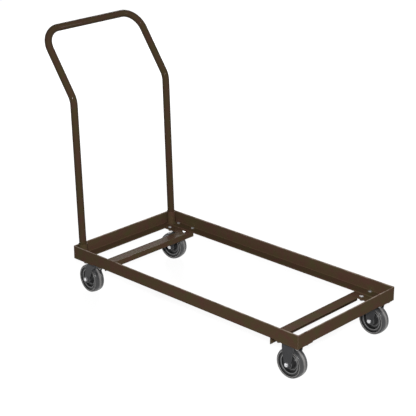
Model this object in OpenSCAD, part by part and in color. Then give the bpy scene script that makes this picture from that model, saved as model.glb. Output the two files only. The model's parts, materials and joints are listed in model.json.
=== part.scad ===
// Folding chair cart: a welded tray of angle iron on four plate casters, with a bent tube push handle.
// X runs along the deck, with the handle at -X. Y runs across it, and Z is up from the floor.
// The origin lies on the floor, in the middle of the whole cart with its handle.

/* [Deck frame] */
// Length of the deck, over the end rails
deck_l = 1016; // [800:1:1400]
// Width of the deck, over the side rails
deck_w = 482.6; // [460:0.1:700]
// Width of the rails' level leg
angle_leg = 38.1; // [32:0.1:45]
// Height of the rails' upright leg
rail_h = 44.4; // [38:0.1:50]
// Thickness of the rails' angle iron
angle_t = 3.2; // [2.5:0.1:4]
// Radius inside the root of the angle iron
angle_root_r = 2.2; // [1:0.1:2.5]
// Radius along the toes of the angle iron
angle_toe_r = 2; // [0.5:0.1:2.4]

/* [Cross-members and caster pads] */
// Thickness of the cross-members and of the caster pads, which lie level
pad_t = 3.2; // [2.8:0.1:4]
// Width of a cross-member's upper flange
member_flange = 38.1; // [30:0.1:42]
// Overall depth of the front cross-member
front_member_drop = 38.1; // [20:0.1:45]
// Overall depth of the rear cross-member, which clears the swivelling wheels
rear_member_drop = 20; // [12:0.5:24]
// How far the cross-members' ends stop short of the deck's sides
member_end_gap = 24; // [20:0.5:30]
// Distance from the deck's front end to the front cross-member's hanging leg
front_member_inset = 131; // [131:0.5:150]
// Distance from the deck's rear end to the rear cross-member's hanging leg
rear_member_inset = 134; // [134:0.5:150]
// How far a pad reaches past its caster's plate, towards the middle
pad_margin = 6; // [2:0.5:15]

/* [Handle] */
// Height of the top of the handle above the floor
total_h = 914.4; // [850:0.1:1050]
// Outside diameter of the handle tube
tube_d = 25.4; // [20:0.1:30]
// Wall of the handle tube
tube_wall = 1.65; // [1.2:0.05:3]
// Distance between the centre lines of the two legs
leg_spacing = 432; // [380:1:435]
// How far the grip's centre line lies behind the deck
handle_reach = 148; // [60:1:200]
// Height of the bend where the legs turn back
kink_h = 690; // [550:1:740]
// Centre line radius of that bend
kink_r = 64; // [50:1:90]
// Centre line radius of the two upper corners
corner_r = 70; // [50:1:90]
// Backward lean of the legs below the bend, in degrees
leg_lean = 2; // [0:0.5:3]
// Outside diameter of the sockets that the legs stand in
socket_d = 31.75; // [31.5:0.05:36]
// Radial gap between leg and socket
socket_gap = 0.3; // [0.1:0.05:0.6]
// How far a socket stands above the rails
socket_rise = 6; // [3:0.5:20]

/* [Caster places] */
// Distance between the left and right wheels' middle planes
track_w = 413; // [380:1:416]
// Distance from the deck's front end to the front casters' axles
front_caster_inset = 50; // [50:0.5:51]
// Distance from the deck's rear end to the rear casters' kingpins
rear_caster_inset = 82; // [81:0.5:82.5]
// How far the left swivel fork is turned inwards at rest, in degrees
rear_left_turn = 8; // [0:1:15]
// How far the right swivel fork is turned inwards at rest, in degrees
rear_right_turn = 5; // [0:1:15]

/* [Caster plates] */
// Height of a caster, from the floor to the top of its plate
caster_h = 122; // [121.5:0.5:130]
// Length of a caster's plate, along the deck
plate_l = 92; // [86:0.5:92]
// Width of a caster's plate
plate_w = 60.3; // [56:0.1:62]
// Thickness of a caster's plate
plate_t = 3; // [2.5:0.1:3.5]
// Corner radius of a caster's plate
plate_corner_r = 6; // [2:0.5:8]
// Spacing of a plate's bolts along the deck
bolt_span_l = 73; // [71:0.5:73.5]
// Spacing of a plate's bolts across the deck
bolt_span_w = 44.5; // [42:0.5:44.5]

/* [Forks] */
// Thickness of the forks' pressed steel
fork_t = 3; // [2.4:0.1:3.4]
// Clear distance between a fork's two legs
fork_gap = 41; // [41:0.5:43]
// Radius of a leg's rounded end, round the axle
leg_end_r = 13; // [10:0.5:15]
// Outer radius of the bend between a fork's web and its legs
fork_bend_r = 6; // [4:0.5:8]
// Width of a fixed fork's leg at its top
fixed_leg_w = 46; // [34:1:52]
// How far a swivel caster's axle trails its kingpin
trail = 36; // [30:0.5:37]
// Diameter of a swivel fork's crown
crown_d = 54; // [50:1:60]

/* [Swivel bearing] */
// Diameter of the kingpin
kingpin_d = 12; // [9:0.5:13]
// Pitch circle diameter of the upper ball ring
upper_ring_d = 38; // [34:0.5:40]
// Diameter of the upper balls
upper_ball_d = 4.76; // [4:0.01:5.2]
// Number of upper balls
upper_balls = 22; // [12:1:22]
// Pitch circle diameter of the lower ball ring
lower_ring_d = 26; // [24:0.5:28]
// Diameter of the lower balls
lower_ball_d = 3.97; // [3.2:0.01:4.2]
// Number of lower balls
lower_balls = 18; // [10:1:18]

/* [Wheels] */
// Diameter of a wheel over its tyre
wheel_d = 101.6; // [98:0.1:103]
// Width of a tyre
tread_w = 34.9; // [30:0.1:36]
// Radius of a tyre's shoulders
shoulder_r = 4.5; // [3.5:0.5:6]
// Diameter of the rim that the tyre sits on
rim_d = 80; // [76:0.5:82]
// Thickness of that rim, from the tyre inwards
rim_t = 8; // [4:0.5:9]
// Diameter of a wheel's hub
hub_d = 30; // [26:0.5:34]
// Thickness of the web between hub and rim
web_t = 6; // [4:0.5:10]

/* [Axles and fasteners] */
// Diameter of an axle bolt
axle_d = 7.94; // [7:0.01:9]
// Outside diameter of the sleeve that an axle bolt clamps
sleeve_d = 12; // [11.5:0.1:13]
// Outside diameter of a wheel's bearing bush
bush_d = 19; // [17:0.1:21]
// Width across the flats of an axle bolt's head and nut
axle_af = 12.7; // [12:0.1:14]
// Diameter of the bolts that hold the casters' plates
bolt_d = 6.35; // [5:0.05:6.5]
// Width across the flats of those bolts' heads and nuts
bolt_af = 11.1; // [10:0.1:11.2]

/* [Hidden] */
$fn = 64;

// Radial clearance of the running fits: sleeve in bush, kingpin in crown
running_fit = 0.06;
// Clearance of pieces that are pressed or moulded together
seat_fit = 0.05;
// Clearance round the balls in their races
race_fit = 0.1;
// Clearance between a wheel's hub and each leg of its fork
side_play = 0.5;
// Radial clearance of the bolts in their holes
bolt_clear = 0.8;
axle_clear = 0.15;
// A bend's wall is this much thinner on each side, and the straights overlap it by this length
bend_thinning = 0.05;
bend_overlap = 1;
over = 1;

// Heights above the floor
axle_z = wheel_d / 2;
plate_bottom = caster_h - plate_t;
rail_bottom = caster_h + pad_t;
flange_top = rail_bottom + angle_t;
rail_top = rail_bottom + rail_h;
bar_z = total_h - tube_d / 2;

// Places along the deck
front_x = (deck_l + handle_reach + tube_d / 2) / 2;
rear_x = front_x - deck_l;
bar_x = rear_x - handle_reach;
front_axle_x = front_x - front_caster_inset;
kingpin_x = rear_x + rear_caster_inset;
front_member_x = front_x - front_member_inset;
rear_member_x = rear_x + rear_member_inset;
// The pads reach from the deck's sides to just past the caster plates
pad_w = deck_w / 2 - track_w / 2 + plate_w / 2 + pad_margin;

// The legs stand clear of the rear rail's root radius, or of its toe where their lean is larger
leg_y = leg_spacing / 2;
foot_gap = max(angle_root_r, (rail_top - flange_top) * tan(leg_lean)) + 0.1;
foot_x = rear_x + angle_t + foot_gap + socket_d / 2 / cos(leg_lean);
kink_x = foot_x - (kink_h - flange_top) * tan(leg_lean);
leg_slant = atan2(kink_x - bar_x, bar_z - kink_h);
kink_turn = leg_slant - leg_lean;
kink_run = kink_r * tan(kink_turn / 2);

// The swivel bearing, from the plate down. A skirt on the plate hangs round the upper balls
skirt_t = 2;
skirt_drop = 2.8;
skirt_bore = upper_ring_d + upper_ball_d + 4;
upper_ball_z = plate_bottom - 1.9;
crown_top = plate_bottom - 3.4;
crown_bottom = crown_top - fork_t;
lower_ball_z = crown_bottom - 1.2;
cup_top = crown_bottom - 2.4;
cup_t = 2.6;
cup_lip = 1.5;
cup_lip_h = 1.2;
cup_d = lower_ring_d + lower_ball_d + 2 * cup_lip + 2;
rivet_d = 18;
rivet_h = 3.5;
countersink_d = kingpin_d + 4;

hub_w = fork_gap - 2 * side_play;
rim_w = tread_w - 7;
tyre_key_w = 6;
tyre_key_h = 2;
head_h = 4;
nut_h = 5.5;
axle_head_h = 5.3;
axle_nut_h = 6.7;
thread_past_nut = 2;

frame_brown = [0.23, 0.15, 0.11];
zinc = [0.62, 0.62, 0.64];
fork_grey = [0.34, 0.34, 0.35];
ball_steel = [0.8, 0.8, 0.82];
tyre_grey = [0.3, 0.3, 0.31];
core_grey = [0.45, 0.45, 0.46];
bush_white = [0.8, 0.79, 0.75];

SIDES = [["left", 1], ["right", -1]];
FRAME_NODES = ["side_rail_left", "side_rail_right", "end_rail_front", "end_rail_rear",
  "cross_member_front", "cross_member_rear", "handle_tube", "caster_bolts", "caster_nuts"];
CORNER_NODES = ["pad", "top_plate", "wheel_core", "tyre", "bearing_bush", "axle_sleeve", "axle_bolt",
  "axle_nut"];
SWIVEL_NODES = ["swivel_fork", "kingpin", "race_cup", "upper_balls", "lower_balls"];

// Points along an arc, from angle a0 to angle a1 in n steps
function arc(c, r, a0, a1, n) =
  [for (i = [0:n]) let (a = a0 + (a1 - a0) * i / n) [c[0] + r * cos(a), c[1] + r * sin(a)]];

// Rolled angle section: outer corner at the origin, one leg along each axis, toes and root rounded
function angle_section(w, h, t) = concat(
  [[0, 0], [w, 0]],
  arc([w - angle_toe_r, t - angle_toe_r], angle_toe_r, 0, 90, 5),
  arc([t + angle_root_r, t + angle_root_r], angle_root_r, 270, 180, 5),
  arc([t - angle_toe_r, h - angle_toe_r], angle_toe_r, 0, 90, 5),
  [[0, h]]
);

// Angle at which a line from point p touches the circle round c, on the side given by +1 or -1
function touch_angle(p, c, r, side) = atan2(p[1] - c[1], p[0] - c[0]) - side * acos(r / norm(p - c));

// Rectangle with rounded corners, as points
function round_rect(l, w, r) = concat(
  arc([l / 2 - r, w / 2 - r], r, 0, 90, 6),
  arc([-l / 2 + r, w / 2 - r], r, 90, 180, 6),
  arc([-l / 2 + r, -w / 2 + r], r, 180, 270, 6),
  arc([l / 2 - r, -w / 2 + r], r, 270, 360, 6)
);

// Frame of reference for a front caster: its axle's middle, with +Y to the outside of the deck
module at_front(side) {
  translate([front_axle_x, side * track_w / 2, 0]) mirror([0, side > 0 ? 0 : 1, 0]) children();
}

// Frame of reference for a rear caster: its kingpin, with +Y to the outside of the deck
module at_rear(side) {
  translate([kingpin_x, side * track_w / 2, 0]) mirror([0, side > 0 ? 0 : 1, 0]) children();
}

// The same for what turns with a swivel fork
module at_fork(side) {
  at_rear(side) rotate([0, 0, side > 0 ? rear_left_turn : rear_right_turn]) children();
}

// Every place where a plate bolt goes: four round each caster's middle
module at_caster_bolts() {
  for (x = [front_axle_x, kingpin_x]) for (y = [-track_w / 2, track_w / 2])
    for (dx = [-bolt_span_l / 2, bolt_span_l / 2]) for (dy = [-bolt_span_w / 2, bolt_span_w / 2])
      bolt_place(x + dx, y + dy) children();
}

// A bolt's head bears on a rail's flange where one covers it, and on the pad or cross-member elsewhere
module bolt_place(x, y) {
  on_side = abs(y) > deck_w / 2 - angle_leg;
  on_end = x > front_x - angle_leg || x < rear_x + angle_leg;
  $grip = on_side || on_end ? flange_top - plate_bottom : rail_bottom - plate_bottom;
  translate([x, y, plate_bottom]) children();
}

module bolt_holes() {
  at_caster_bolts() translate([0, 0, -over])
    cylinder(d = bolt_d + 2 * bolt_clear, h = plate_t + pad_t + angle_t + 2 * over);
}

// Hexagonal prism with its flats across Y and chamfered corners on its upper face
module hexagon(af, h) {
  intersection() {
    rotate([0, 0, 30]) cylinder(d = af / cos(30), h = h, $fn = 6);
    cylinder(r1 = af * 0.55 + h, r2 = af * 0.47, h = h + 0.02);
  }
}

// A rail along X with its outer face on y = 0, both ends cut at 45 degrees to meet the next rails
module mitred_rail(len) {
  difference() {
    rotate([90, 0, 90]) linear_extrude(len, center = true)
      polygon(angle_section(angle_leg, rail_h, angle_t));
    for (m = [0, 1]) mirror([m, 0, 0]) translate([len / 2, 0, -over]) rotate([0, 0, 45])
      translate([0, -angle_leg * 2, 0]) cube([angle_leg * 2, angle_leg * 4, rail_h + 2 * over]);
  }
}

module side_rail(side) {
  color(frame_brown) difference() {
    translate([(front_x + rear_x) / 2, side * deck_w / 2, rail_bottom])
      rotate([0, 0, side > 0 ? 180 : 0]) mitred_rail(deck_l);
    bolt_holes();
  }
}

module end_rail(x, turn) {
  color(frame_brown) difference() {
    translate([x, 0, rail_bottom]) rotate([0, 0, turn]) mitred_rail(deck_w);
    bolt_holes();
  }
}

// Angle laid flange up across the deck, welded under the side rails, with its leg hanging inboard
module cross_member(x, flip, drop) {
  color(frame_brown) difference() {
    translate([x, 0, rail_bottom]) mirror([flip, 0, 0]) rotate([-90, 0, 0])
      linear_extrude(deck_w - 2 * member_end_gap, center = true)
        polygon(angle_section(member_flange, drop, pad_t));
    bolt_holes();
  }
}

// Flat plate that closes a corner between the cross-member, the end rail and the side rail
module pad(x_end, x_member, side) {
  color(frame_brown) difference() {
    translate([min(x_end, x_member), side > 0 ? deck_w / 2 - pad_w : -deck_w / 2, caster_h])
      cube([abs(x_end - x_member), pad_w, pad_t]);
    bolt_holes();
  }
}

// One straight length of tube along +Z, which reaches a little way over the bends at its ends
module tube_run(len) {
  translate([0, 0, -bend_overlap]) difference() {
    cylinder(d = tube_d, h = len + 2 * bend_overlap);
    translate([0, 0, -over]) cylinder(d = tube_d - 2 * tube_wall, h = len + 2 * bend_overlap + 2 * over);
  }
}

// One bend, starting at the origin along +Z and turning towards -X
module tube_bend(radius, turn) {
  translate([-radius, 0, 0]) rotate([90, 0, 0]) rotate_extrude(angle = turn, $fn = 48)
    translate([radius, 0]) difference() {
      circle(d = tube_d - 2 * bend_thinning);
      circle(d = tube_d - 2 * tube_wall + 2 * bend_thinning);
    }
}

// Half of the handle: a leg cut level on the flange, its backward bend, the slanted leg and a corner
module handle_side() {
  lower_run = (kink_h - flange_top) / cos(leg_lean) - kink_run;
  upper_run = norm([kink_x - bar_x, bar_z - kink_h]) - kink_run - corner_r;
  translate([foot_x, leg_y, flange_top]) rotate([0, -leg_lean, 0]) {
    difference() {
      translate([0, 0, -tube_d / 4]) tube_run(lower_run + tube_d / 4);
      rotate([0, leg_lean, 0]) translate([-tube_d, -tube_d, -tube_d]) cube([2 * tube_d, 2 * tube_d, tube_d]);
    }
    translate([0, 0, lower_run]) tube_bend(kink_r, kink_turn);
  }
  translate([kink_x, leg_y, kink_h]) rotate([0, -leg_slant, 0]) {
    translate([0, 0, kink_run]) tube_run(upper_run);
    translate([0, 0, kink_run + upper_run]) rotate([0, 0, 90]) tube_bend(corner_r, 90);
  }
}

module handle_tube() {
  $fn = 32;
  color(frame_brown) {
    handle_side();
    mirror([0, 1, 0]) handle_side();
    translate([bar_x, -leg_y + corner_r, bar_z]) rotate([-90, 0, 0]) tube_run(2 * (leg_y - corner_r));
  }
}

// Short tube welded upright in the rear corner, leaning with the leg that stands in it
module handle_socket(side) {
  socket_h = (rail_top - flange_top + socket_rise) / cos(leg_lean);
  color(frame_brown) translate([foot_x, side * leg_y, flange_top]) difference() {
    rotate([0, -leg_lean, 0]) difference() {
      translate([0, 0, -socket_d / 4]) cylinder(d = socket_d, h = socket_h + socket_d / 4);
      translate([0, 0, -socket_d / 2]) cylinder(d = tube_d + 2 * socket_gap, h = socket_h + socket_d);
    }
    translate([-socket_d, -socket_d, -socket_d]) cube([2 * socket_d, 2 * socket_d, socket_d]);
  }
}

module caster_bolts() {
  color(zinc) at_caster_bolts() {
    translate([0, 0, $grip]) hexagon(bolt_af, head_h);
    translate([0, 0, -nut_h - thread_past_nut]) cylinder(d = bolt_d, h = $grip + nut_h + thread_past_nut);
  }
}

module caster_nuts() {
  color(zinc) at_caster_bolts() mirror([0, 0, 1]) difference() {
    hexagon(bolt_af, nut_h);
    translate([0, 0, -over]) cylinder(d = bolt_d + 2 * seat_fit, h = nut_h + 2 * over);
  }
}

module plate_blank() {
  translate([0, 0, plate_bottom]) difference() {
    linear_extrude(plate_t) polygon(round_rect(plate_l, plate_w, plate_corner_r));
    for (dx = [-bolt_span_l / 2, bolt_span_l / 2]) for (dy = [-bolt_span_w / 2, bolt_span_w / 2])
      translate([dx, dy, -over]) cylinder(d = bolt_d + 2 * bolt_clear, h = plate_t + 2 * over);
  }
}

// Side view of a fork: a top edge, two shoulders, and legs that taper to a round end about the axle
module fork_outline(top, front, rear, axle) {
  a_front = touch_angle(front, axle, leg_end_r, 1);
  a_rear = touch_angle(rear, axle, leg_end_r, -1) - 360;
  polygon(concat(top, [front], arc(axle, leg_end_r, a_front, a_rear, 16), [rear]));
}

// End view of a fork: an upside-down U of bent plate, seen along the deck
module fork_channel(top_z) {
  y_out = fork_gap / 2 + fork_t;
  r_in = fork_bend_r - fork_t;
  difference() {
    polygon(concat([[y_out, 0]], arc([y_out - fork_bend_r, top_z - fork_bend_r], fork_bend_r, 0, 90, 6),
      arc([-y_out + fork_bend_r, top_z - fork_bend_r], fork_bend_r, 90, 180, 6), [[-y_out, 0]]));
    polygon(concat([[fork_gap / 2, -over]],
      arc([fork_gap / 2 - r_in, top_z - fork_t - r_in], r_in, 0, 90, 4),
      arc([-fork_gap / 2 + r_in, top_z - fork_t - r_in], r_in, 90, 180, 4), [[-fork_gap / 2, -over]]));
  }
}

module axle_hole(x) {
  translate([x, 0, axle_z]) rotate([90, 0, 0])
    cylinder(d = axle_d + 2 * axle_clear, h = fork_gap + 4 * fork_t, center = true);
}

module fixed_fork() {
  half = fixed_leg_w / 2;
  shoulder_z = plate_bottom - 16;
  color(fork_grey) difference() {
    intersection() {
      rotate([90, 0, 90]) linear_extrude(4 * fixed_leg_w, center = true) fork_channel(plate_bottom);
      rotate([90, 0, 0]) linear_extrude(2 * fork_gap, center = true)
        fork_outline([[-half, plate_bottom], [half, plate_bottom]], [half, shoulder_z], [-half, shoulder_z],
          [0, axle_z]);
    }
    axle_hole(0);
  }
}

// The swivel fork's crown is round in front, and its legs slope back from it to the trailing axle
module swivel_fork() {
  crown_r = crown_d / 2;
  top = [[-crown_r + 4, crown_top], [crown_r, crown_top], [crown_r, crown_bottom - 1],
    [crown_r * 0.55, crown_bottom - 5]];
  color(fork_grey) difference() {
    intersection() {
      rotate([90, 0, 90]) linear_extrude(4 * crown_d, center = true) fork_channel(crown_top);
      rotate([90, 0, 0]) linear_extrude(2 * fork_gap, center = true)
        fork_outline(top, [0, crown_bottom - 14], [-trail, crown_bottom - 12], [-trail, axle_z]);
      union() {
        cylinder(r = crown_r, h = caster_h);
        translate([-trail - 2 * leg_end_r, -fork_gap, 0]) cube([trail + 2 * leg_end_r, 2 * fork_gap, caster_h]);
      }
    }
    axle_hole(-trail);
    cylinder(d = kingpin_d + 2 * running_fit, h = caster_h);
    ball_race(upper_ring_d, upper_ball_d, upper_ball_z);
    ball_race(lower_ring_d, lower_ball_d, lower_ball_z);
  }
}

// Groove swept by a ring of balls, with the race's clearance
module ball_race(ring_d, ball_d, z) {
  translate([0, 0, z]) rotate_extrude() translate([ring_d / 2, 0]) circle(d = ball_d + 2 * race_fit, $fn = 32);
}

module ball_ring(ring_d, ball_d, z, count) {
  color(ball_steel) for (i = [0:count - 1]) rotate([0, 0, i * 360 / count]) translate([ring_d / 2, 0, z])
    sphere(d = ball_d, $fn = 24);
}

module fixed_top_plate() {
  color(zinc) plate_blank();
}

// The swivel plate has the upper race and its skirt pressed in below and a countersunk hole for the kingpin
module swivel_top_plate() {
  color(zinc) difference() {
    union() {
      plate_blank();
      translate([0, 0, plate_bottom - skirt_drop]) difference() {
        cylinder(d = skirt_bore + 2 * skirt_t, h = skirt_drop + plate_t / 2);
        translate([0, 0, -over]) cylinder(d = skirt_bore, h = skirt_drop + over);
      }
    }
    kingpin_solid(seat_fit);
    ball_race(upper_ring_d, upper_ball_d, upper_ball_z);
  }
}

// Dished washer that carries the lower balls, held up by the kingpin's riveted end
module race_cup() {
  color(zinc) difference() {
    translate([0, 0, cup_top - cup_t]) cylinder(d = cup_d, h = cup_t + cup_lip_h);
    translate([0, 0, cup_top]) cylinder(d = cup_d - 2 * cup_lip, h = cup_t);
    kingpin_solid(seat_fit);
    ball_race(lower_ring_d, lower_ball_d, lower_ball_z);
  }
}

// Kingpin: countersunk head level with the plate, plain shank, riveted end under the cup
module kingpin_solid(grow) {
  head_t = plate_t * 0.6;
  cup_bottom = cup_top - cup_t;
  translate([0, 0, caster_h - head_t]) cylinder(d1 = kingpin_d + 2 * grow, d2 = countersink_d + 2 * grow, h = head_t);
  translate([0, 0, cup_bottom - grow]) cylinder(d = kingpin_d + 2 * grow, h = caster_h - cup_bottom - head_t + 2 * grow);
}

module kingpin() {
  cup_bottom = cup_top - cup_t;
  color(zinc) {
    kingpin_solid(0);
    translate([0, 0, cup_bottom - rivet_h]) cylinder(d1 = rivet_d * 0.6, d2 = rivet_d, h = rivet_h);
  }
}

// Half section of the tyre: rounded shoulders, and a keyway where it grips the rim
module tyre_section() {
  r = wheel_d / 2;
  y = tread_w / 2;
  seat = rim_d / 2 + seat_fit;
  key_y = tyre_key_w / 2 + seat_fit;
  polygon(concat(
    arc([r - shoulder_r, y - shoulder_r], shoulder_r, 0, 90, 9),
    [[seat + 2, y], [seat, rim_w / 2], [seat, key_y], [seat + tyre_key_h, key_y],
      [seat + tyre_key_h, -key_y], [seat, -key_y], [seat, -rim_w / 2], [seat + 2, -y]],
    arc([r - shoulder_r, -y + shoulder_r], shoulder_r, 270, 360, 9)
  ));
}

// Half section of the wheel's core: keyed rim, dished web with a raised ring, and hub
module core_section() {
  rim = rim_d / 2;
  hub = hub_d / 2;
  ring = (rim - rim_t + hub) / 2;
  polygon([
    [bush_d / 2 + seat_fit, hub_w / 2], [hub - 1, hub_w / 2], [hub, hub_w / 2 - 1], [hub + 1.5, web_t / 2 + 1],
    [ring - 2, web_t / 2], [ring - 1, web_t / 2 + 1], [ring + 1, web_t / 2 + 1], [ring + 2, web_t / 2],
    [rim - rim_t - 1, web_t / 2], [rim - rim_t, web_t / 2 + 1], [rim - rim_t + 0.5, rim_w / 2], [rim, rim_w / 2],
    [rim, tyre_key_w / 2], [rim + tyre_key_h, tyre_key_w / 2],
    [rim + tyre_key_h, -tyre_key_w / 2], [rim, -tyre_key_w / 2],
    [rim, -rim_w / 2], [rim - rim_t + 0.5, -rim_w / 2], [rim - rim_t, -web_t / 2 - 1], [rim - rim_t - 1, -web_t / 2],
    [ring + 2, -web_t / 2], [ring + 1, -web_t / 2 - 1], [ring - 1, -web_t / 2 - 1], [ring - 2, -web_t / 2],
    [hub + 1.5, -web_t / 2 - 1], [hub, -hub_w / 2 + 1], [hub - 1, -hub_w / 2], [bush_d / 2 + seat_fit, -hub_w / 2]
  ]);
}

// Turns a section about the axle, which runs across the fork
module about_axle(x) {
  translate([x, 0, axle_z]) rotate([90, 0, 0]) rotate_extrude($fn = 96) children();
}

module tyre(x) {
  color(tyre_grey) about_axle(x) tyre_section();
}

module wheel_core(x) {
  color(core_grey) about_axle(x) core_section();
}

// Ring of a given bore, outside diameter and length about the axle
module axle_ring(x, bore, outside, len) {
  translate([x, 0, axle_z]) rotate([90, 0, 0]) difference() {
    cylinder(d = outside, h = len, center = true);
    cylinder(d = bore, h = len + 2 * over, center = true);
  }
}

module bearing_bush(x) {
  color(bush_white) axle_ring(x, sleeve_d + 2 * running_fit, bush_d, hub_w);
}

module axle_sleeve(x) {
  color(zinc) axle_ring(x, axle_d + 2 * axle_clear, sleeve_d, fork_gap);
}

// Hexagon bolt through both legs, with its head on the inner side of the caster
module axle_bolt(x) {
  y_out = fork_gap / 2 + fork_t;
  color(zinc) translate([x, -y_out, axle_z]) rotate([90, 0, 0]) {
    hexagon(axle_af, axle_head_h);
    translate([0, 0, -2 * y_out - axle_nut_h - thread_past_nut])
      cylinder(d = axle_d, h = 2 * y_out + axle_nut_h + thread_past_nut);
  }
}

module axle_nut(x) {
  y_out = fork_gap / 2 + fork_t;
  color(zinc) translate([x, y_out, axle_z]) rotate([-90, 0, 0]) difference() {
    hexagon(axle_af, axle_nut_h);
    translate([0, 0, -over]) cylinder(d = axle_d + 2 * seat_fit, h = axle_nut_h + 2 * over);
  }
}

side_rail(1);  // side_rail_left
side_rail(-1);  // side_rail_right
end_rail(front_x, 90);  // end_rail_front
end_rail(rear_x, -90);  // end_rail_rear
cross_member(front_member_x, 0, front_member_drop);  // cross_member_front
cross_member(rear_member_x, 1, rear_member_drop);  // cross_member_rear
handle_tube();
caster_bolts();
caster_nuts();

for (s = SIDES) {
  handle_socket(s[1]);
}

for (s = SIDES) let (corner = str("front_", s[0], "_")) {
  pad(front_x, front_member_x + member_flange, s[1]);
  at_front(s[1]) fixed_top_plate();
  at_front(s[1]) fixed_fork();
  at_front(s[1]) wheel_core(0);
  at_front(s[1]) tyre(0);
  at_front(s[1]) bearing_bush(0);
  at_front(s[1]) axle_sleeve(0);
  at_front(s[1]) axle_bolt(0);
  at_front(s[1]) axle_nut(0);
}

for (s = SIDES) let (corner = str("rear_", s[0], "_")) {
  pad(rear_x, rear_member_x - member_flange, s[1]);
  at_rear(s[1]) swivel_top_plate();
  at_rear(s[1]) kingpin();
  at_rear(s[1]) race_cup();
  at_fork(s[1]) swivel_fork();
  at_fork(s[1]) ball_ring(upper_ring_d, upper_ball_d, upper_ball_z, upper_balls);
  at_fork(s[1]) ball_ring(lower_ring_d, lower_ball_d, lower_ball_z, lower_balls);
  at_fork(s[1]) wheel_core(-trail);
  at_fork(s[1]) tyre(-trail);
  at_fork(s[1]) bearing_bush(-trail);
  at_fork(s[1]) axle_sleeve(-trail);
  at_fork(s[1]) axle_bolt(-trail);
  at_fork(s[1]) axle_nut(-trail);
}
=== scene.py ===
import json

import bpy
import numpy as np
from mathutils import Matrix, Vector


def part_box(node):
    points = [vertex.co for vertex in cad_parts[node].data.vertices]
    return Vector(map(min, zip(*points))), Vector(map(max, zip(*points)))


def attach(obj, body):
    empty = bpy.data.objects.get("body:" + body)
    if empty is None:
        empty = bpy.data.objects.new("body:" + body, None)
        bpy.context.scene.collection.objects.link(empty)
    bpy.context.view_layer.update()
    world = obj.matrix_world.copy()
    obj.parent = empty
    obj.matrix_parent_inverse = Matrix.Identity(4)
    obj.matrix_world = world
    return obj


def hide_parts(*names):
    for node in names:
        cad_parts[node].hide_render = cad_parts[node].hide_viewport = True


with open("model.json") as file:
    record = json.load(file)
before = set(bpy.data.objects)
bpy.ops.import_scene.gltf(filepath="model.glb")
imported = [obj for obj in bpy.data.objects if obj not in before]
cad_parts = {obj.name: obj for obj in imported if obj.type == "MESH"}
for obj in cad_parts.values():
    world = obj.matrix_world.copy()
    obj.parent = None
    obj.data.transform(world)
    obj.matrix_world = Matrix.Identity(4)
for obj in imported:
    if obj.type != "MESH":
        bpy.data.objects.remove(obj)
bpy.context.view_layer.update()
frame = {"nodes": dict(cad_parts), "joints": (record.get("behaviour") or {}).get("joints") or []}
nodes = frame["nodes"]


# Angle-iron deck. Two side rails and two end rails of rolled angle, 44 mm high, are mitred and welded
# into a tray, over two shorter cross-members and four corner pads. All of it, and the handle, is powder
# coated in one dark brown, smooth and half glossy, with a faint orange peel.

def shader(name):
    """New material: its node tree, its Principled shader, and the material itself."""
    material = bpy.data.materials.new(name)
    material.use_nodes = True
    tree = material.node_tree
    return tree, tree.nodes["Principled BSDF"], material


def add(tree, kind, **settings):
    """New node of a kind, with its properties, and with its inputs by name under the key "inputs"."""
    node = tree.nodes.new(kind)
    for key, value in settings.pop("inputs", {}).items():
        node.inputs[key].default_value = value
    for key, value in settings.items():
        setattr(node, key, value)
    return node


def node_group(name, inputs, outputs):
    """New shader node group with named float inputs and typed outputs."""
    group = bpy.data.node_groups.new(name, "ShaderNodeTree")
    for label, value in inputs.items():
        socket = group.interface.new_socket(label, in_out="INPUT", socket_type="NodeSocketFloat")
        socket.default_value = value
    for label, kind in outputs.items():
        group.interface.new_socket(label, in_out="OUTPUT", socket_type=kind)
    return group, add(group, "NodeGroupInput"), add(group, "NodeGroupOutput")


def place(tree, group, **values):
    """The group as a node of a material, with its own values."""
    node = add(tree, "ShaderNodeGroup", node_tree=group)
    for key, value in values.items():
        node.inputs[key].default_value = value
    return node


def edge_group():
    """Softened edges: a normal rounded over the given radius, and a mask that rises towards edges.

    The mask is one minus the cosine between the rounded normal and the face's own normal, scaled."""
    group, given, result = node_group(
        "soft_edges", {"Radius": 0.0008, "Gain": 3.0},
        {"Mask": "NodeSocketFloat", "Normal": "NodeSocketVector"})
    link = group.links.new
    bevel = add(group, "ShaderNodeBevel", samples=6)
    face = add(group, "ShaderNodeNewGeometry")
    cosine = add(group, "ShaderNodeVectorMath", operation="DOT_PRODUCT")
    fall = add(group, "ShaderNodeMath", operation="SUBTRACT", inputs={0: 1.0})
    gain = add(group, "ShaderNodeMath", operation="MULTIPLY", use_clamp=True)
    link(given.outputs["Radius"], bevel.inputs["Radius"])
    link(bevel.outputs["Normal"], cosine.inputs[0])
    link(face.outputs["Normal"], cosine.inputs[1])
    link(cosine.outputs["Value"], fall.inputs[1])
    link(fall.outputs["Value"], gain.inputs[0])
    link(given.outputs["Gain"], gain.inputs[1])
    link(gain.outputs["Value"], result.inputs["Mask"])
    link(bevel.outputs["Normal"], result.inputs["Normal"])
    return group


def mottle_group():
    """Two sizes of noise on object coordinates: broad patches and fine grain, each from 0 to 1."""
    group, given, result = node_group(
        "mottle", {"Patch Scale": 6.0, "Grain Scale": 900.0},
        {"Patches": "NodeSocketFloat", "Grain": "NodeSocketFloat"})
    link = group.links.new
    where = add(group, "ShaderNodeTexCoord")
    for label, detail, rough in (("Patch", 6.0, 0.68), ("Grain", 2.0, 0.5)):
        noise = add(group, "ShaderNodeTexNoise", inputs={"Detail": detail, "Roughness": rough})
        link(where.outputs["Object"], noise.inputs["Vector"])
        link(given.outputs[label + " Scale"], noise.inputs["Scale"])
        value = noise.outputs["Fac"]
        if label == "Patch":
            spread = add(group, "ShaderNodeMapRange", inputs={"From Min": 0.36, "From Max": 0.64})
            link(value, spread.inputs["Value"])
            value = spread.outputs["Result"]
        link(value, result.inputs["Patches" if label == "Patch" else "Grain"])
    return group


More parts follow.
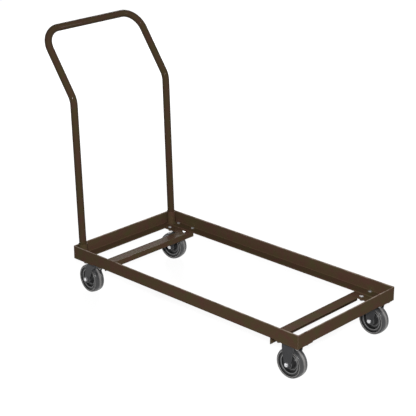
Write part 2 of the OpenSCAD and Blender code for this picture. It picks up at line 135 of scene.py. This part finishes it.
soft_edges = edge_group()
mottle = mottle_group()


def finish(name, dark, light, edge_highlight, rough, bump=0.1, metallic=0.0, coat=0.0, patch=6.0, grain=900.0,
           radius=0.0008, gain=3.0, grain_depth=0.0002, specular=0.5):
    """A coated or moulded finish: two tones in broad patches, a lighter tone painted on the edges as a
    highlight, and a fine bumped grain.
    """
    tree, principled, material = shader(name)
    link = tree.links.new
    spots = place(tree, mottle, **{"Patch Scale": patch, "Grain Scale": grain})
    edges = place(tree, soft_edges, Radius=radius, Gain=gain)
    tones = add(tree, "ShaderNodeMix", data_type="RGBA")
    tones.inputs["A"].default_value = (*dark, 1)
    tones.inputs["B"].default_value = (*light, 1)
    # The edge tone is a painted highlight, laid where the soft edge mask rises.
    edge_highlight_mix = add(tree, "ShaderNodeMix", data_type="RGBA")
    edge_highlight_mix.inputs["B"].default_value = (*edge_highlight, 1)
    gloss = add(tree, "ShaderNodeMapRange",
                inputs={"To Min": rough[0], "To Max": rough[1]})
    relief = add(tree, "ShaderNodeBump", inputs={"Strength": bump, "Distance": grain_depth})
    link(spots.outputs["Patches"], tones.inputs["Factor"])
    link(tones.outputs["Result"], edge_highlight_mix.inputs["A"])
    link(edges.outputs["Mask"], edge_highlight_mix.inputs["Factor"])
    link(edge_highlight_mix.outputs["Result"], principled.inputs["Base Color"])
    link(spots.outputs["Patches"], gloss.inputs["Value"])
    link(gloss.outputs["Result"], principled.inputs["Roughness"])
    link(spots.outputs["Grain"], relief.inputs["Height"])
    link(edges.outputs["Normal"], relief.inputs["Normal"])
    link(relief.outputs["Normal"], principled.inputs["Normal"])
    principled.inputs["Metallic"].default_value = metallic
    principled.inputs["Coat Weight"].default_value = coat
    principled.inputs["Coat Roughness"].default_value = 0.25
    principled.inputs["Specular IOR Level"].default_value = specular
    return material


def dress(material, *names):
    """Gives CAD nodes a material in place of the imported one."""
    for name in names:
        for held in nodes[name].material_slots:
            held.material = material


brown_tones = dict(
    dark=(0.104, 0.051, 0.036), light=(0.087, 0.067, 0.031), edge_highlight=(0.3, 0.23, 0.18), rough=(0.14, 0.22),
    bump=0.05, grain=700.0, gain=2.0, patch=24.0, coat=0.04, specular=0.0)
brown_coat = finish("brown_powder_coat", **brown_tones)


def with_top_highlight(material, height, depth, tone, cover):
    """Paints a highlight over the topmost part of the deck's rails, where their top edges catch the
    light:
    a lighter tone in patches, full at the given height, none at the given depth below it, broken up by
    noise."""
    tree = material.node_tree
    link = tree.links.new
    base = tree.nodes["Principled BSDF"].inputs["Base Color"]
    before = base.links[0].from_socket
    where = add(tree, "ShaderNodeTexCoord")
    parts = add(tree, "ShaderNodeSeparateXYZ")
    rise = add(tree, "ShaderNodeMapRange", inputs={"From Min": height - depth, "From Max": height})
    chance = add(tree, "ShaderNodeTexNoise", inputs={"Scale": 38.0, "Detail": 4.0})
    broken = add(tree, "ShaderNodeMapRange", inputs={"From Min": cover[0], "From Max": cover[1]})
    amount = add(tree, "ShaderNodeMath", operation="MULTIPLY")
    top_highlight_mix = add(tree, "ShaderNodeMix", data_type="RGBA")
    top_highlight_mix.inputs["B"].default_value = (*tone, 1)
    link(where.outputs["Object"], parts.inputs[0])
    link(where.outputs["Object"], chance.inputs["Vector"])
    link(parts.outputs["Z"], rise.inputs["Value"])
    link(chance.outputs["Fac"], broken.inputs["Value"])
    link(rise.outputs["Result"], amount.inputs[0])
    link(broken.outputs["Result"], amount.inputs[1])
    link(amount.outputs["Value"], top_highlight_mix.inputs["Factor"])
    link(before, top_highlight_mix.inputs["A"])
    link(top_highlight_mix.outputs["Result"], base)
    return material


# The rails' coat carries a painted highlight along their top edges.
rail_coat_with_top_highlight = with_top_highlight(finish("brown_coat_painted_top_highlight", **brown_tones), height=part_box("side_rail_left")[1][2],
                   depth=0.0035, tone=(0.42, 0.33, 0.27), cover=(0.28, 0.6))
rails = ("side_rail_left", "side_rail_right", "end_rail_front", "end_rail_rear")
members = ("cross_member_front", "cross_member_rear")
pads = tuple(f"{end}_{side}_pad" for end in ("front", "rear") for side in ("left", "right"))
dress(rail_coat_with_top_highlight, *rails)
dress(brown_coat, *members, *pads)


# Push handle. One length of 25 mm steel tube is bent into a U and cranked back towards the person who
# pushes. Its feet stand in two short sockets that are welded to the rear corners. The coat is the deck's,
# but it flows out smoother on a drawn tube, so it glints at the bends; its tones are painted a little
# darker than the deck's, as painted shade.

def shell(name, grids, loop=True, caps=True):
    """Mesh object from grids of points, rows by columns, one for each separate body. Quads join the
    neighbours, columns close up into a loop, and the first and last rows are closed by a face each.
    Faces are turned outwards by the sign of the enclosed volume, which is the sum of each face's centre
    times its area vector."""
    vertices, faces, start = [], [], 0
    for points in grids:
        rows, cols = points.shape[:2]
        i, j = np.meshgrid(np.arange(rows - 1), np.arange(cols if loop else cols - 1), indexing="ij")
        here, after = i * cols, (i + 1) * cols
        k = (j + 1) % cols
        quads = np.stack([here + j, here + k, after + k, after + j], -1).reshape(-1, 4)
        flat = points.reshape(-1, 3)
        a, b, c, d = (flat[quads[:, n]] for n in range(4))
        middle = flat.mean(axis=0)
        volume = np.einsum("ij,ij->", (a + b + c + d) / 4 - middle, np.cross(c - a, d - b))
        faces += ((quads if volume > 0 else quads[:, ::-1]) + start).tolist()
        if caps:
            ends = [np.arange(cols)[::-1] + start, np.arange((rows - 1) * cols, rows * cols) + start]
            faces += [(end if volume > 0 else end[::-1]).tolist() for end in ends]
        vertices += flat.tolist()
        start += len(flat)
    mesh = bpy.data.meshes.new(name)
    mesh.from_pydata(vertices, [], faces)
    mesh.shade_smooth()
    mesh.set_sharp_from_angle(angle=np.radians(35))
    piece = bpy.data.objects.new(name, mesh)
    bpy.context.scene.collection.objects.link(piece)
    return piece


def carried(path, profile, across):
    """A profile carried along a path: each profile point (u, v) lies at path + u * side + v * normal.
    Side is the path's direction crossed with the vector "across", and normal completes the frame.
    profile is one outline, or one for each point of the path."""
    along = np.gradient(path, axis=0)
    along /= np.linalg.norm(along, axis=1, keepdims=True)
    side = np.cross(along, across)
    side /= np.linalg.norm(side, axis=1, keepdims=True)
    normal = np.cross(along, side)
    profile = np.broadcast_to(profile, (len(path),) + np.shape(profile)[-2:])
    return path[:, None] + profile[..., :1] * side[:, None] + profile[..., 1:] * normal[:, None]


def ring(radius, count):
    """Points of a circle about the profile's origin."""
    turn = np.arange(count) * 2 * np.pi / count
    return radius * np.stack([np.cos(turn), np.sin(turn)], -1)


def bend(start, heading, towards, radius, turn, steps):
    """Arc that leaves start along heading and turns towards another direction:
    start + radius * (sin t * heading + (1 - cos t) * towards), for t from 0 to turn."""
    t = np.linspace(0, turn, steps)[:, None]
    return start + radius * (np.sin(t) * heading + (1 - np.cos(t)) * towards)


tube_r = 0.0127
kink_h = 0.69
kink_r = 0.064
corner_r = 0.07
lean = np.radians(2)
tube_lo, tube_hi = (np.array(c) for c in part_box("handle_tube"))
leg_y = tube_hi[1] - tube_r
foot = np.array([tube_hi[0] - tube_r / np.cos(lean), leg_y, tube_lo[2]])
up_leg = np.array([-np.sin(lean), 0, np.cos(lean)])
kink = foot + up_leg * (kink_h - foot[2]) / up_leg[2]
elbow = np.array([tube_lo[0] + tube_r, leg_y, tube_hi[2] - tube_r])
up_slant = (elbow - kink) / np.linalg.norm(elbow - kink)
kink_turn = np.arccos(up_leg @ up_slant)
kink_run = kink_r * np.tan(kink_turn / 2)
back_of_leg = np.array([-up_leg[2], 0, up_leg[0]])
half_path = np.concatenate([
    foot + np.linspace(0, 1, 12)[:, None] * (kink - kink_run * up_leg - foot),
    bend(kink - kink_run * up_leg, up_leg, back_of_leg, kink_r, kink_turn, 16)[1:],
    kink + up_slant * np.linspace(kink_run, np.linalg.norm(elbow - kink) - corner_r, 6)[1:, None],
    bend(elbow - corner_r * up_slant, up_slant, np.array([0, -1.0, 0]), corner_r, np.pi / 2, 28)[1:],
])
handle_path = np.concatenate([half_path, half_path[::-1] * [1, -1, 1]])
handle_grid = carried(handle_path, ring(tube_r, 40), across=(1, 0, 0.3))
# The feet are cut level where they stand on the rail's flange
handle_grid[[0, -1], :, 0] += (handle_grid[[0, -1], :, 2] - foot[2]) * np.tan(lean)
handle_grid[[0, -1], :, 2] = foot[2]
handle = shell("push_handle", [handle_grid])
# The tube's tones are a darker copy of the deck's: painted shade.
shaded_tube_tones = dict(brown_tones, dark=(0.076, 0.037, 0.024), light=(0.063, 0.047, 0.019),
                  bump=0.0, coat=0.1)
shaded_tube_coat = finish("smooth_brown_coat_painted_darker", **shaded_tube_tones)
shaded_tube_coat.node_tree.nodes["Principled BSDF"].inputs["Coat Roughness"].default_value = 0.09
handle.data.materials.append(shaded_tube_coat)
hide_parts("handle_tube")
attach(handle, "frame")
dress(brown_coat, "handle_socket_left", "handle_socket_right")


# Weld beads. The deck's pieces are joined by short arc welds, laid by hand and left as they are under
# the coat: ripples about 3 mm apart, a little uneven in width, and tapered where each run ends.

ripple_pitch = 0.003
end_taper = 0.002


def bead(path, radius, seed):
    """Weld bead along a path: a circle carried along it, its radius the given one times one plus a
    tenth of a cosine for each ripple, plus a slow drift, and drawn in towards both ends."""
    path = np.asarray(path, float)
    steps = np.concatenate([[0], np.cumsum(np.linalg.norm(np.diff(path, axis=0), axis=1))])
    s = np.linspace(0, steps[-1], max(int(steps[-1] / 0.0005), 8))
    path = np.stack([np.interp(s, steps, path[:, n]) for n in range(3)], -1)
    chance = np.random.default_rng(seed)
    drift = 0.06 * np.sin(s / 0.011 + chance.uniform(0, 6))
    drift += 0.04 * np.sin(s / 0.0047 + chance.uniform(0, 6))
    ripple = 0.1 * np.cos(2 * np.pi * s / ripple_pitch + chance.uniform(0, 6))
    taper = np.sqrt(np.clip(np.minimum(s, steps[-1] - s) / end_taper, 0.05, 1))
    size = radius * (1 + ripple + drift) * taper
    return carried(path, ring(1.0, 10) * size[:, None, None], across=(0.31, 0.43, 0.85))


angle_t = 0.0032
corner_bead_r, seam_bead_r, toe_bead_r, socket_bead_r = 0.0021, 0.0016, 0.0018, 0.0017
# How far a bead's middle lies off the edge that it runs along
lift = 0.0004
# Runs across the pads, clear of the bolt heads, as distances from the cart's middle plane
pad_runs = {"front": (0.172, 0.2015), "rear": (0.1945, 0.2015)}
seam_runs = {"front": ((0.1715, 0.177), (0.193, 0.2015)), "rear": ((0.1715, 0.2015),)}
rail_lo, rail_hi = (np.array(c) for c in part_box("side_rail_left"))
front_in, rear_in = rail_hi[0] - angle_t, rail_lo[0] + angle_t
side_in = rail_hi[1] - angle_t
toe_y = rail_lo[1]
seat_z, flange_z, top_z = rail_lo[2], rail_lo[2] + angle_t, rail_hi[2]
socket_lo, socket_hi = (np.array(c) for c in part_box("handle_socket_left"))
beads = []
for side in (1, -1):
    for inner, toe, sign, end in ((front_in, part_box("end_rail_front")[0][0], -1, "front"),
                                  (rear_in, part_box("end_rail_rear")[1][0], 1, "rear")):
        member_lo, member_hi = (np.array(c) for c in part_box(f"cross_member_{end}"))
        far, near = (member_lo[0], member_hi[0]) if end == "front" else (member_hi[0], member_lo[0])
        seed = len(beads)
        # Up the inside of the corner, and along the mitre on the flanges
        corner_at = (inner + sign * 0.001, side * (side_in - 0.001))
        beads.append(bead([(*corner_at, flange_z + 0.003), (*corner_at, top_z - 0.001)],
                          corner_bead_r, seed))
        mitre_z = flange_z - 0.0006
        beads.append(bead([(inner + sign * 0.005, side * (side_in - 0.005), mitre_z),
                           (toe - sign * 0.001, side * (toe_y + 0.001), mitre_z)], seam_bead_r, seed + 1))
        # Along the side rail's toe, over the pad and the cross-member
        rail_edge = (side * (toe_y - lift), seat_z + lift)
        beads.append(bead([(toe + sign * 0.002, *rail_edge), (far - sign * 0.002, *rail_edge)],
                          toe_bead_r, seed + 2))
        # Along the end rail's toe, over the pad
        beads.append(bead([(toe + sign * lift, side * y, seat_z + lift) for y in pad_runs[end]],
                          toe_bead_r, seed + 3))
        # Across the seam from pad to cross-member
        for run in seam_runs[end]:
            beads.append(bead([(near, side * y, seat_z - 0.0007) for y in run],
                              seam_bead_r, seed + 4))
        # At the cross-member's end, under the side rail
        under = (side * (member_hi[1] + lift), seat_z - lift)
        beads.append(bead([(far - sign * 0.002, *under), (near + sign * 0.005, *under)],
                          toe_bead_r, seed + 5))
    # Round the foot of the handle's socket
    turn = np.linspace(0.0, 2 * np.pi, 60)
    socket_r = (socket_hi[1] - socket_lo[1]) / 2
    ring_x = socket_hi[0] - socket_r + (socket_r + lift) * np.cos(turn)
    ring_y = side * (socket_lo[1] + socket_r) + (socket_r + lift) * np.sin(turn)
    beads.append(bead(np.stack([ring_x, ring_y, np.full(60, flange_z + lift)], -1),
                      socket_bead_r, 90 + side))
welds = shell("weld_beads", beads)
welds.data.materials.append(brown_coat)
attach(welds, "frame")


# Plate casters. Their top plates and forks are pressed steel with a dark dull plating, held together
# by bright zinc bolts, and the ball rings of the two rear ones are plain bearing steel.

dark_plating = finish(
    "dark_plating", dark=(0.027, 0.027, 0.029), light=(0.045, 0.045, 0.047), edge_highlight=(0.36, 0.36, 0.36),
    rough=(0.3, 0.42), metallic=0.1, bump=0.08, patch=25.0, grain=1600.0, radius=0.0013, gain=1.6,
    specular=0.25)
bright_zinc = finish(
    "bright_zinc", dark=(0.6, 0.6, 0.61), light=(0.74, 0.74, 0.75), edge_highlight=(0.85, 0.85, 0.86),
    rough=(0.24, 0.36), metallic=0.8, bump=0.06, patch=60.0, grain=2500.0, radius=0.0004)
bearing_steel = finish(
    "bearing_steel", dark=(0.6, 0.6, 0.61), light=(0.7, 0.7, 0.71), edge_highlight=(0.7, 0.7, 0.71),
    rough=(0.12, 0.2), metallic=1.0, bump=0.02, patch=80.0, radius=0.0001)
nylon = finish(
    "natural_nylon", dark=(0.5, 0.48, 0.43), light=(0.58, 0.56, 0.51), edge_highlight=(0.62, 0.6, 0.55),
    rough=(0.4, 0.5), bump=0.05, patch=60.0, grain=1500.0, radius=0.0003)
corners = [f"{end}_{side}" for end in ("front", "rear") for side in ("left", "right")]
# The nuts, under the plates, take a darker and browner copy of the bolts' zinc: painted shade.
shaded_zinc = finish(
    "shaded_zinc", dark=(0.13, 0.115, 0.1), light=(0.22, 0.2, 0.18), edge_highlight=(0.6, 0.57, 0.53),
    rough=(0.3, 0.42), metallic=0.7, bump=0.06, patch=60.0, grain=2500.0, radius=0.0005)
dress(bright_zinc, "caster_bolts")
dress(shaded_zinc, "caster_nuts")
for corner in corners:
    fork = "fixed_fork" if "front" in corner else "swivel_fork"
    dress(dark_plating, f"{corner}_top_plate", f"{corner}_{fork}")
    dress(bright_zinc, *(f"{corner}_{part}" for part in ("axle_bolt", "axle_nut", "axle_sleeve")))
    dress(nylon, f"{corner}_bearing_bush")
for corner in ("rear_left", "rear_right"):
    dress(bright_zinc, f"{corner}_kingpin", f"{corner}_race_cup")
    dress(bearing_steel, f"{corner}_upper_balls", f"{corner}_lower_balls")


# Wheels. A grey rubber tyre is moulded on a harder, darker core with a rounded rim bead, a sunk web and
# a raised boss round the hub. The two halves of the mould leave a fine line round the tread.

def by_relief(material, hollow_shade, crest_highlight):
    """Tones that follow a turned piece's relief, which its mesh holds as an attribute from 0 to 1:
    painted shade in the hollows, the material's own tone halfway, and painted highlights on the crests."""
    tree = material.node_tree
    base = tree.nodes["Principled BSDF"].inputs["Base Color"]
    tone = base.links[0].from_socket
    relief = add(tree, "ShaderNodeAttribute", attribute_name="relief")
    for low, high, held, colour in ((0.0, 0.5, "A", hollow_shade), (0.5, 1.0, "B", crest_highlight)):
        amount = add(tree, "ShaderNodeMapRange", inputs={"From Min": low, "From Max": high})
        mixed = add(tree, "ShaderNodeMix", data_type="RGBA")
        mixed.inputs[held].default_value = (*colour, 1)
        tree.links.new(relief.outputs["Fac"], amount.inputs["Value"])
        tree.links.new(amount.outputs["Result"], mixed.inputs["Factor"])
        tree.links.new(tone, mixed.inputs["B" if held == "A" else "A"])
        tone = mixed.outputs["Result"]
    tree.links.new(tone, base)
    return material


# Hollows get a near black painted shade, and crests a light painted highlight.
grey_rubber = by_relief(finish(
    "grey_rubber", dark=(0.062, 0.062, 0.064), light=(0.085, 0.085, 0.087), edge_highlight=(0.12, 0.12, 0.12),
    rough=(0.26, 0.36), bump=0.1, patch=30.0, grain=1400.0, radius=0.0004, specular=0.4),
    hollow_shade=(0.008, 0.008, 0.008), crest_highlight=(0.29, 0.28, 0.272))
core_plastic = by_relief(finish(
    "core_plastic", dark=(0.034, 0.034, 0.035), light=(0.05, 0.05, 0.051), edge_highlight=(0.1, 0.1, 0.1),
    rough=(0.22, 0.32), bump=0.06, patch=40.0, grain=1800.0, radius=0.0004, specular=0.4),
    hollow_shade=(0.006, 0.006, 0.006), crest_highlight=(0.22, 0.22, 0.22))


def turned(name, outline, centre, axle, count=96):
    """Body of revolution: outline points (distance along the axle, radius, relief) carried round the
    axle. The relief goes with each point as an attribute of the mesh."""
    axle = np.asarray(axle, float)
    up = np.array([0.0, 0.0, 1.0])
    level = np.cross(axle, up)
    turn = np.arange(count) * 2 * np.pi / count
    spoke = np.cos(turn)[:, None] * up + np.sin(turn)[:, None] * level
    grid = centre + outline[None, :, :1] * axle + outline[None, :, 1:2] * spoke[:, None]
    piece = shell(name, [np.concatenate([grid, grid[:1]])], caps=False)
    relief = piece.data.attributes.new("relief", "FLOAT", "POINT")
    relief.data.foreach_set("value", np.tile(outline[:, 2], count + 1))
    return piece


def arc(centre, radius, start, end, steps, relief):
    """Arc of an outline, from one angle in degrees to another, round (along, out). Its relief runs
    from the given value at the ends to another midway, as a half wave."""
    t = np.radians(np.linspace(start, end, steps))
    rise = np.sin(np.linspace(0, np.pi, steps))
    return np.stack([centre[0] + radius * np.cos(t), centre[1] + radius * np.sin(t),
                     relief[0] + (relief[1] - relief[0]) * rise], -1)


def mirrored(half):
    """Outline completed by its reflection at the wheel's middle plane."""
    return np.concatenate([half, half[::-1] * [-1, 1, 1]])


wheel_r = 0.0508
tread_w = 0.0349
shoulder_r = 0.0045
crown_r = 0.055
tread_highlight_half = 0.0048
rim_r = 0.04
rim_w = 0.0279
web_t = 0.006
hub_r = 0.015
bush_r = 0.0095
hub_w = 0.04
crown = np.linspace(0.0003, tread_w / 2 - shoulder_r, 12)
# The third number of each outline point is its relief, which sets painted shade at 0 and painted
# highlight at 1.
tyre_half = np.concatenate([
    # The mould's line, and the crowned tread with a painted highlight along its middle
    [[0.0, wheel_r, 1.0]],
    np.stack([crown, wheel_r - 0.0002 - crown ** 2 / (2 * crown_r),
              0.3 + 0.6 * np.exp(-(crown / tread_highlight_half) ** 4)], -1),
    # Shoulder and side wall, and the rib at the wall's inner edge
    arc((tread_w / 2 - shoulder_r, wheel_r - 0.0018 - shoulder_r), shoulder_r, 74, 4, 10, (0.3, 0.42)),
    [[tread_w / 2, rim_r + 0.0066, 0.2], [tread_w / 2 - 0.0009, rim_r + 0.006, 0.0]],
    arc((tread_w / 2 - 0.0022, rim_r + 0.0034), 0.0026, 78, -75, 12, (0.1, 0.95)),
    [[rim_w / 2 + 0.0006, rim_r + 0.0006, 0.0], [rim_w / 2 - 0.001, rim_r + 0.0004, 0.0]],
])
core_half = np.concatenate([
    # Rim under the tyre, and the bead on its face
    [[0.0, rim_r + 0.0002, 0.0]],
    arc((rim_w / 2 - 0.0015, rim_r - 0.0013), 0.0015, 90, 20, 6, (0.0, 0.2)),
    [[rim_w / 2 - 0.0012, rim_r - 0.0022, 0.1], [rim_w / 2 - 0.0014, rim_r - 0.0042, 0.1]],
    arc((rim_w / 2 - 0.0018, rim_r - 0.0069), 0.0022, 78, -78, 12, (0.3, 1.0)),
    # Fall to the web, and the low ring on it
    [[rim_w / 2 - 0.0045, rim_r - 0.0092, 0.2], [0.0060, rim_r - 0.0097, 0.1],
     [0.0042, rim_r - 0.0104, 0.1], [web_t / 2, rim_r - 0.0120, 0.25], [web_t / 2, 0.0262, 0.3]],
    arc((web_t / 2 + 0.0002, 0.0235), 0.0018, 65, -65, 9, (0.3, 0.9)),
    # Rise to the hub, and its rounded end
    [[web_t / 2, 0.0208, 0.3], [web_t / 2 + 0.0004, 0.0186, 0.2], [web_t / 2 + 0.0021, 0.017, 0.3],
     [web_t / 2 + 0.008, 0.0161, 0.4]],
    arc((hub_w / 2 - 0.0013, hub_r - 0.0013), 0.0013, 80, 5, 6, (0.5, 0.9)),
    [[hub_w / 2, hub_r - 0.0028, 0.5], [hub_w / 2, bush_r + 0.00005, 0.5]],
])
for joint in frame["joints"]:
    if not joint["name"].endswith("_roll"):
        continue
    corner = joint["name"][:-5]
    centre, axle = np.array(joint["pos_m"]), np.array(joint["axis"])
    for part, half, material, node in (("tyre", tyre_half, grey_rubber, "tyre"),
                                       ("core", core_half, core_plastic, "wheel_core")):
        piece = turned(f"{corner}_{part}_surface", mirrored(half), centre, axle)
        piece.data.materials.append(material)
        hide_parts(f"{corner}_{node}")
        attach(piece, f"{corner}_wheel")


# Floor, light and camera. A grey floor that shows as white, in a white room, with a small key light on
# the camera's side, a wide light behind the cart, and faint ones above and at its front left. The
# camera looks from the photograph's place, over the cart's right front corner.

floor_mesh = bpy.data.meshes.new("studio_floor")
reach = 9.0
floor_mesh.from_pydata([(-reach, -reach, 0), (reach, -reach, 0), (reach, reach, 0), (-reach, reach, 0)],
                       [], [(0, 1, 2, 3)])
studio_floor = bpy.data.objects.new("studio_floor", floor_mesh)
bpy.context.scene.collection.objects.link(studio_floor)
floor_tree, floor_shader, floor_paint = shader("pale_floor")
floor_shader.inputs["Base Color"].default_value = (0.25, 0.25, 0.25, 1)
floor_shader.inputs["Roughness"].default_value = 0.9
floor_shader.inputs["Specular IOR Level"].default_value = 0.0
floor_shader.inputs["Emission Color"].default_value = (1, 1, 1, 1)


def background_rays(tree):
    """One on rays that show the background, which are camera, glossy and transmission rays, else 0."""
    ray = add(tree, "ShaderNodeLightPath")
    shown = ray.outputs["Is Camera Ray"]
    for label in ("Is Glossy Ray", "Is Transmission Ray"):
        either = add(tree, "ShaderNodeMath", operation="MAXIMUM")
        tree.links.new(shown, either.inputs[0])
        tree.links.new(ray.outputs[label], either.inputs[1])
        shown = either.outputs["Value"]
    return shown


# The glow leaves room for the cart's faint shadow near it, and is full white further out
where = add(floor_tree, "ShaderNodeTexCoord")
away = add(floor_tree, "ShaderNodeVectorMath", operation="LENGTH")
spread = add(floor_tree, "ShaderNodeMapRange",
             inputs={"From Min": 0.7, "From Max": 1.6, "To Min": 0.88, "To Max": 1.0})
glow = add(floor_tree, "ShaderNodeMath", operation="MULTIPLY")
floor_tree.links.new(where.outputs["Object"], away.inputs[0])
floor_tree.links.new(away.outputs["Value"], spread.inputs["Value"])
floor_tree.links.new(background_rays(floor_tree), glow.inputs[0])
floor_tree.links.new(spread.outputs["Result"], glow.inputs[1])
floor_tree.links.new(glow.outputs["Value"], floor_shader.inputs["Emission Strength"])
# From below the floor is clear, so that the cart's underside can be looked at
facing = add(floor_tree, "ShaderNodeNewGeometry")
solid = add(floor_tree, "ShaderNodeMath", operation="SUBTRACT", inputs={0: 1.0})
floor_tree.links.new(facing.outputs["Backfacing"], solid.inputs[1])
floor_tree.links.new(solid.outputs["Value"], floor_shader.inputs["Alpha"])
floor_mesh.materials.append(floor_paint)

world = bpy.data.worlds.new("white_room")
bpy.context.scene.world = world
world.use_nodes = True
sky = world.node_tree.nodes["Background"]
sky.inputs["Color"].default_value = (1, 1, 1, 1)
level = add(world.node_tree, "ShaderNodeMapRange", inputs={"To Min": 0.05, "To Max": 1.0})
world.node_tree.links.new(background_rays(world.node_tree), level.inputs["Value"])
world.node_tree.links.new(level.outputs["Result"], sky.inputs["Strength"])


def soft_light(name, at, aim, size, power):
    """Rectangular area light at a place, turned to face another, with its width and height."""
    lamp = bpy.data.lights.new(name, "AREA")
    lamp.shape = "RECTANGLE"
    lamp.size, lamp.size_y = size
    lamp.energy = power
    light = bpy.data.objects.new(name, lamp)
    bpy.context.scene.collection.objects.link(light)
    back = np.array(at, float) - np.array(aim, float)
    back /= np.linalg.norm(back)
    right = np.cross([0.0, 0.0, 1.0], back) if abs(back[2]) < 0.98 else np.array([0.0, -1.0, 0.0])
    right /= np.linalg.norm(right)
    turned_to = Matrix(np.stack([right, np.cross(back, right), back], -1).tolist())
    light.matrix_world = Matrix.Translation(at) @ turned_to.to_4x4()


soft_light("overhead", at=(0.4, -0.3, 3.0), aim=(0.0, 0.0, 0.2), size=(1.6, 1.6), power=4)
soft_light("key", at=(3.0, -3.1, 2.4), aim=(0.0, 0.0, 0.35), size=(0.4, 0.4), power=185)
soft_light("back", at=(-3.0, 2.6, 2.0), aim=(0.0, 0.0, 0.3), size=(1.6, 1.6), power=105)
soft_light("strip", at=(2.3, 2.1, 1.0), aim=(0.3, 0.0, 0.15), size=(0.35, 1.8), power=12)

image_px = 416
focal_px = 1311.0
camera_at = (2.8176, -2.9616, 1.9280)
camera_turn = np.radians([43.694, 21.053, -0.179])
optics = bpy.data.cameras.new("photo_camera")
optics.sensor_width = 36.0
optics.lens = focal_px * optics.sensor_width / image_px
camera = bpy.data.objects.new("photo_camera", optics)
bpy.context.scene.collection.objects.link(camera)
azimuth, elevation, roll = camera_turn
camera.matrix_world = (Matrix.Translation(camera_at) @ Matrix.Rotation(azimuth, 4, "Z")
                       @ Matrix.Rotation(np.pi / 2 - elevation, 4, "X") @ Matrix.Rotation(roll, 4, "Z"))
bpy.context.scene.camera = camera
bpy.context.scene.view_settings.view_transform = "Standard"
